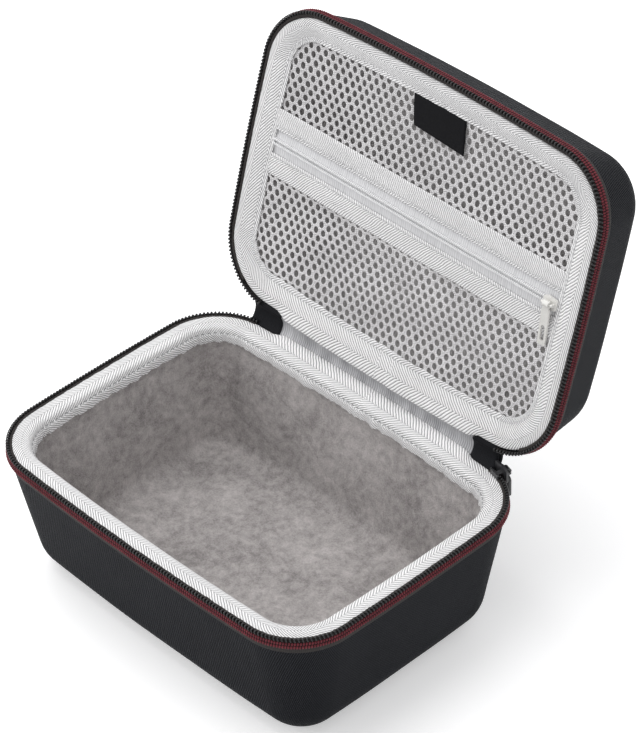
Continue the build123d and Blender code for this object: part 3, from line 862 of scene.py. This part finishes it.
def make_mesh_panel(side):
    """Knitted mesh with staggered oval holes, slack in the middle, as one sheet."""
    name = f"pocket_{side}_mesh"
    low, high, seed = PANELS[side]

    def slacken(points):
        x, y = points[:, 0], points[:, 1]
        inside = np.clip([panel_field(*p) / 16 for p in points[:, :2]], 0, 1)
        inside *= np.clip(np.minimum(y - low, high - y) / 12, 0, 1)
        slack = np.array([noise.noise(Vector((a / 26, b / 20, seed))) for a, b in zip(x, y)])
        stretch = np.array([noise.noise_vector(Vector((a / 30, b / 24, seed + 4))) for a, b in zip(x, y)])
        stretch[:, :2] *= 1.1
        stretch[:, 2] = 0.6 + slack * 1.5
        return points + stretch * inside[:, None]

    cells = []
    columns = int(MESH_SPAN / CELL_X) + 2
    for row in range(int((high - low) / CELL_Y) + 1):
        for column in range(columns):
            x, y = (column - columns / 2 + (row % 2) / 2) * CELL_X, low + row * CELL_Y
            if panel_field(x, y) > 0:
                cells.append((x, y, RIM_DEPTH))
    carrier = carry(name, cells, [], CELLS, Part=mesh_cell(), Material=MAT["mesh"])
    panel = baked(carrier, name, "lid", slacken)
    face_outward(panel.data, close=True)
    settle(panel, "lid", f"pocket_mesh_{side}")


def flat_strip(name, section, half_length, material, node, wave=0.0, seed=0.0):
    """A strip along x with a section of (y, depth) points, closed."""
    xs = np.linspace(-half_length, half_length, int(2 * half_length / 1.5))
    grid = np.zeros((len(xs), len(section), 3))
    for i, x in enumerate(xs):
        for j, (y, d) in enumerate(section):
            lift = wave * noise.noise(Vector((x / 14, y / 9, seed)))
            grid[i, j] = (x, POCKET_LINE + y, RIM_DEPTH + d + lift)
    strip = skin(name, grid, xs, material, "lid", round_run=False)
    settle(strip, "lid", node)
    return strip


def pocket_path(end, y, depth, count):
    """A straight path along the pocket's zip line."""
    return np.array([(x, POCKET_LINE + y, RIM_DEPTH + depth) for x in np.linspace(-end, end, count)])


def make_pocket_zip():
    for side, way in (("upper", -1), ("lower", 1)):
        top = smooth_line([
            (BAND_NEAR, 0.1), (BAND_NEAR + 0.1, -0.45), (6.8, -0.75), (7.7, -0.55), (8.6, -0.78),
            (12.0, -0.85), (15.4, -0.75), (BAND_FAR, -0.5), (BAND_FAR + 0.1, -0.05),
        ], 4)
        under = [(BAND_FAR - 0.4, 0.05), (BAND_NEAR + 0.5, 0.2)]
        section = [(way * a, d) for a, d in [*top, *under]]
        band = flat_strip(
            f"pocket_{side}_twill_band", section, POCKET_END, MAT["band"],
            f"pocket_band_{side}", 0.3, 4.0 + way,
        )
        top = smooth_line([(0.1, 0.1), (1.0, 0.0), (2.2, 0.0), (4.0, 0.25), (6.4, 0.4), (TAPE_FAR, 0.3)], 4)
        under = [(TAPE_FAR, 0.65), (4.0, 0.6), (0.1, 0.5)]
        section = [(way * a, d) for a, d in [*top, *under]]
        flat_strip(
            f"pocket_{side}_zip_tape", section, POCKET_END + 2, MAT["pocket_tape"],
            f"pocket_tape_{side}",
        )
        line = [(0.2, 1.7, 0.0), (0.08, 1.45, -0.6), (0, 0.95, -0.85), (0, 0.35, -0.5)]
        line = [(x, way * y, d) for x, y, d in line]
        rib = bent_bar(f"pocket_rib_{side}", line, [0.26, 0.38, 0.42, 0.32], sides=6)
        path = pocket_path(POCKET_END, way * 0.1, 0, 120)
        teeth = repeat_along(f"pocket_{side}_coil", path, rib, 1.05, MAT["white_coil"], "lid")
        settle(teeth, "lid", f"pocket_coil_{side}")
        line = [(-0.85, 0, 0.1), (-0.6, 0, -0.1), (0, 0, -0.16), (0.6, 0, -0.1), (0.85, 0, 0.1)]
        dash = bent_bar("pocket_seam_stitch", line, [0.1, 0.15, 0.17, 0.15, 0.1], sides=5)
        path = pocket_path(POCKET_END - 2, way * 7.7, -0.55, 80)
        sewn = repeat_along(f"pocket_{side}_stitches", path, dash, 2.6, MAT["pale_thread"], "lid")
        settle(sewn, "lid")


def make_label():
    front = -(CASE_DEPTH / 2 - MESH_INSET) - MESH_SHIFT + 0.6
    section = [(front - 0.6 - POCKET_LINE, -0.2), (front - 0.6 - POCKET_LINE, -0.85)]
    for t in np.linspace(0, 1, 10):
        section.append((front + LABEL_TALL * t - POCKET_LINE, -0.9 - 0.25 * math.sin(math.pi * t)))
    section += [(front + LABEL_TALL + 0.25 - POCKET_LINE, -0.6), (front + LABEL_TALL - POCKET_LINE, -0.25)]
    xs = np.linspace(LABEL_LEFT, LABEL_RIGHT, 30)
    grid = np.array([[(x, POCKET_LINE + y, RIM_DEPTH + d) for y, d in section] for x in xs])
    hang = np.clip((grid[:, :, 1] - front) / LABEL_TALL, 0, 1)
    right = (grid[:, :, 0] - LABEL_LEFT) / (LABEL_RIGHT - LABEL_LEFT)
    grid += np.stack([3.4 * hang, 1.3 * hang * right, -0.9 * hang**2 * right], axis=2)
    tag = skin("bare_label", grid, xs, MAT["label"], "lid", round_run=False)
    settle(tag, "lid", "label_tag")


# ---------- hinge ----------
def rear_edge(x, inset):
    loop = outline(inset)[:103]
    return float(np.interp(x, loop[:, 0], loop[:, 1]))


def hinge_ends(x, depth, proud):
    """The base's and the open lid's rear walls at one depth, as (y, z)."""
    base = (rear_edge(abs(x), wall_inset(depth, "base")) + proud, PARTING - depth)
    lid = opened(rear_edge(abs(x), wall_inset(depth, "lid")) + proud, PARTING + depth)
    return np.array(base), np.array(lid)


def bow_line(start, end, bulge, count):
    """Points of an arc between two points that bulges backwards."""
    run = end - start
    chord = np.linalg.norm(run)
    out = np.array([run[1], -run[0]]) / chord
    radius = (chord**2 / 4 + bulge**2) / (2 * bulge)
    centre = (start + end) / 2 + out * (bulge - radius)
    a0 = math.atan2(*(start - centre)[::-1])
    a1 = math.atan2(*(end - centre)[::-1])
    if a1 - a0 > math.pi:
        a1 -= 2 * math.pi
    if a0 - a1 > math.pi:
        a1 += 2 * math.pi
    return [centre + radius * np.array([math.cos(a), math.sin(a)]) for a in np.linspace(a0, a1, count)]


def hinge_strip(name, x0, x1, section, material, node):
    """A strip between the halves, built from its section at each x."""
    xs = np.linspace(x0, x1, max(int(abs(x1 - x0) / 1.5), 9))
    rows = [section(x) for x in xs]
    grid = np.array([[(x, *p) for p in row] for x, row in zip(xs, rows)])
    strip = skin(name, grid, xs, material, None, round_run=False)
    if node:
        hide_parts(node)
    base, lid = hinge_ends(0, 3.0, 0.0)
    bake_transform(strip)


def cloth_section(x):
    faces = []
    for proud, bulge in ((0.1, 2.0), (0.9, 2.5)):
        base_low, lid_high = hinge_ends(x, 10.2, proud)
        base, lid = hinge_ends(x, 4.4 if proud < 0.5 else 4.7, proud)
        if proud > 0.5:
            lid = hinge_ends(x, 5.5, proud)[1]
        leg_down = [base_low + (base - base_low) * t for t in np.linspace(0, 1, 4)[:-1]]
        leg_up = [lid + (lid_high - lid) * t for t in np.linspace(0, 1, 4)[1:]]
        faces.append(leg_down + bow_line(base, lid, bulge, 11) + leg_up)
    return faces[0] + faces[1][::-1]


def satin_section(x, ahead=0.0):
    """From under the base binding, back round the gutter and up under the lid binding."""
    start, end = hinge_ends(x, 2.9, 0.0)
    ripple = 0.15 * math.sin(x * 1.9) * math.sin(x * 0.37 + 1.0)
    into_base = start + np.array([-2.6, -0.5])
    c, q = math.cos(OPEN), math.sin(OPEN)
    into_lid = end + np.array([-2.6 * c + 0.5 * q, 2.6 * q + 0.5 * c])
    low, high = start + np.array([-0.6 - ahead, 0.25]), end + np.array([-0.55 - ahead, -0.45])
    front = [into_base + np.array([0.0, 0.5 + ahead])] + bow_line(low, high, 2.0 + ripple, 15) + [into_lid]
    back = [into_base] + bow_line(start, end, 2.35, 15) + [into_lid + 0.5 * np.array([q, c])]
    return back + front[::-1]


def patch_section(x):
    return satin_section(x, 0.35)


def make_hinge():
    cloth, satin_end = MAT["patch"], SATIN_END + 1.5
    hinge_strip("hinge_outer_cloth", -SATIN_END, SATIN_END, cloth_section, cloth,
                "hinge_cloth")
    hinge_strip("hinge_satin", -satin_end, satin_end, satin_section, MAT["satin"],
                "hinge_lining")
    for side, way in (("left", -1), ("right", 1)):
        hinge_strip(f"hinge_{side}_patch", way * PATCH_END, way * SATIN_END, cloth_section, cloth,
                    f"hinge_patch_{side}")
        inner, outer = way * (SATIN_END - 1), way * (FACE_END[side] - 0.5)
        hinge_strip(f"hinge_{side}_patch_face", inner, outer, patch_section, cloth,
                    None)


def finish_metal():
    for node, key in (("zip_slider", "black_metal"), ("zip_pull", "black_metal"),
                      ("pocket_slider", "white_metal"), ("pocket_pull", "white_metal")):
        obj = frame["nodes"][node]
        for k in range(max(len(obj.material_slots), 1)):
            if obj.material_slots:
                obj.material_slots[k].material = MAT[key]
            else:
                obj.data.materials.append(MAT[key])


for half in ("base", "lid"):
    make_shell(half)
    make_lining(half)
    make_zip(half)
make_base_binding()
make_lid_binding()
for panel_side in PANELS:
    make_mesh_panel(panel_side)
make_pocket_zip()
make_label()
make_hinge()
finish_metal()


# ---------- camera, floor and light ----------
def set_camera():
    azimuth, elevation, roll = math.radians(47.42), math.radians(38.831), math.radians(-2.149)
    target, distance = Vector((0.073566, -0.025922, 0.185953)), 1.495069
    across, lift = 0.0006, 0.0015
    level = math.cos(elevation)
    back = Vector((math.sin(azimuth) * level, -math.cos(azimuth) * level, math.sin(elevation)))
    right = (-back).cross(Vector((0, 0, 1))).normalized()
    up = right.cross(-back)
    right, up = right * math.cos(roll) + up * math.sin(roll), up * math.cos(roll) - right * math.sin(roll)
    target += right * across + up * lift
    data = bpy.data.cameras.new("camera")
    data.lens = FOCAL_PIXELS * SENSOR / PHOTO_HEIGHT
    data.clip_start, data.clip_end = 0.05, 20
    camera = bpy.data.objects.new("camera", data)
    turn = Matrix((right, up, back)).transposed()
    camera.matrix_world = Matrix.Translation(target + back * distance) @ turn.to_4x4()
    bpy.context.scene.collection.objects.link(camera)
    bpy.context.scene.camera = camera


def seen_directly(tree):
    """1 for camera, gloss and clear rays, 0 for the light that falls on the case."""
    path = tree.nodes.new("ShaderNodeLightPath")
    seen = path.outputs["Is Camera Ray"]
    for ray in ("Is Glossy Ray", "Is Transmission Ray"):
        most = tree.nodes.new("ShaderNodeMath")
        most.operation = "MAXIMUM"
        tree.links.new(seen, most.inputs[0])
        tree.links.new(path.outputs[ray], most.inputs[1])
        seen = most.outputs[0]
    return seen


def two_tones(tree, seen, lighting, shown):
    """One grey for the light on the case, and another where it is seen directly."""
    mix = tree.nodes.new("ShaderNodeMix")
    mix.data_type = "RGBA"
    mix.inputs[6].default_value, mix.inputs[7].default_value = (*lighting, 1), (*shown, 1)
    tree.links.new(seen, mix.inputs[0])
    return mix.outputs[2]


def make_floor():
    size = 3.0
    corners = [(-size, -size, 0), (size, -size, 0), (size, size, 0), (-size, size, 0)]
    mesh = bpy.data.meshes.new("floor")
    mesh.from_pydata(corners, [], [(0, 1, 2, 3)])
    floor = bpy.data.objects.new("floor", mesh)
    floor.location.z = -0.0006
    bpy.context.scene.collection.objects.link(floor)
    material = bpy.data.materials.new("pale_floor")
    material.use_nodes = True
    tree = material.node_tree
    bsdf = tree.nodes["Principled BSDF"]
    bsdf.inputs["Roughness"].default_value = 0.9
    bsdf.inputs["Specular IOR Level"].default_value = 0.0
    bsdf.inputs["Emission Color"].default_value = (1, 1, 1, 1)
    seen = seen_directly(tree)
    glow = tree.nodes.new("ShaderNodeMath")
    glow.operation = "MULTIPLY"
    glow.inputs[1].default_value = 0.34
    tree.links.new(seen, glow.inputs[0])
    tree.links.new(two_tones(tree, seen, (0.62,) * 3, (0.95,) * 3), bsdf.inputs["Base Color"])
    tree.links.new(glow.outputs[0], bsdf.inputs["Emission Strength"])
    mesh.materials.append(material)


def make_world():
    world = bpy.data.worlds.new("studio")
    bpy.context.scene.world = world
    world.use_nodes = True
    tree = world.node_tree
    back = tree.nodes["Background"]
    tone = two_tones(tree, seen_directly(tree), (0.62, 0.62, 0.63), (1, 1, 1))
    tree.links.new(tone, back.inputs["Color"])
    back.inputs["Strength"].default_value = 1.0


def lamp(name, place, target, size, power):
    data = bpy.data.lights.new(name, "AREA")
    data.shape, data.size, data.size_y, data.energy = "RECTANGLE", size[0], size[1], power
    obj = bpy.data.objects.new(name, data)
    obj.location = place
    obj.rotation_euler = (Vector(target) - Vector(place)).to_track_quat("-Z", "Y").to_euler()
    bpy.context.scene.collection.objects.link(obj)


set_camera()
make_floor()
make_world()
lamp("top_softbox", (-0.35, 0.1, 1.3), (0, 0.05, 0.1), (1.2, 1.2), 10.5)
lamp("left_softbox", (-1.1, -1.0, 0.7), (0, 0, 0.1), (0.9, 0.9), 7.6)
lamp("right_softbox", (1.3, -0.5, 0.6), (0, 0, 0.1), (0.9, 0.9), 2.6)
bpy.context.scene.view_settings.view_transform = "Standard"
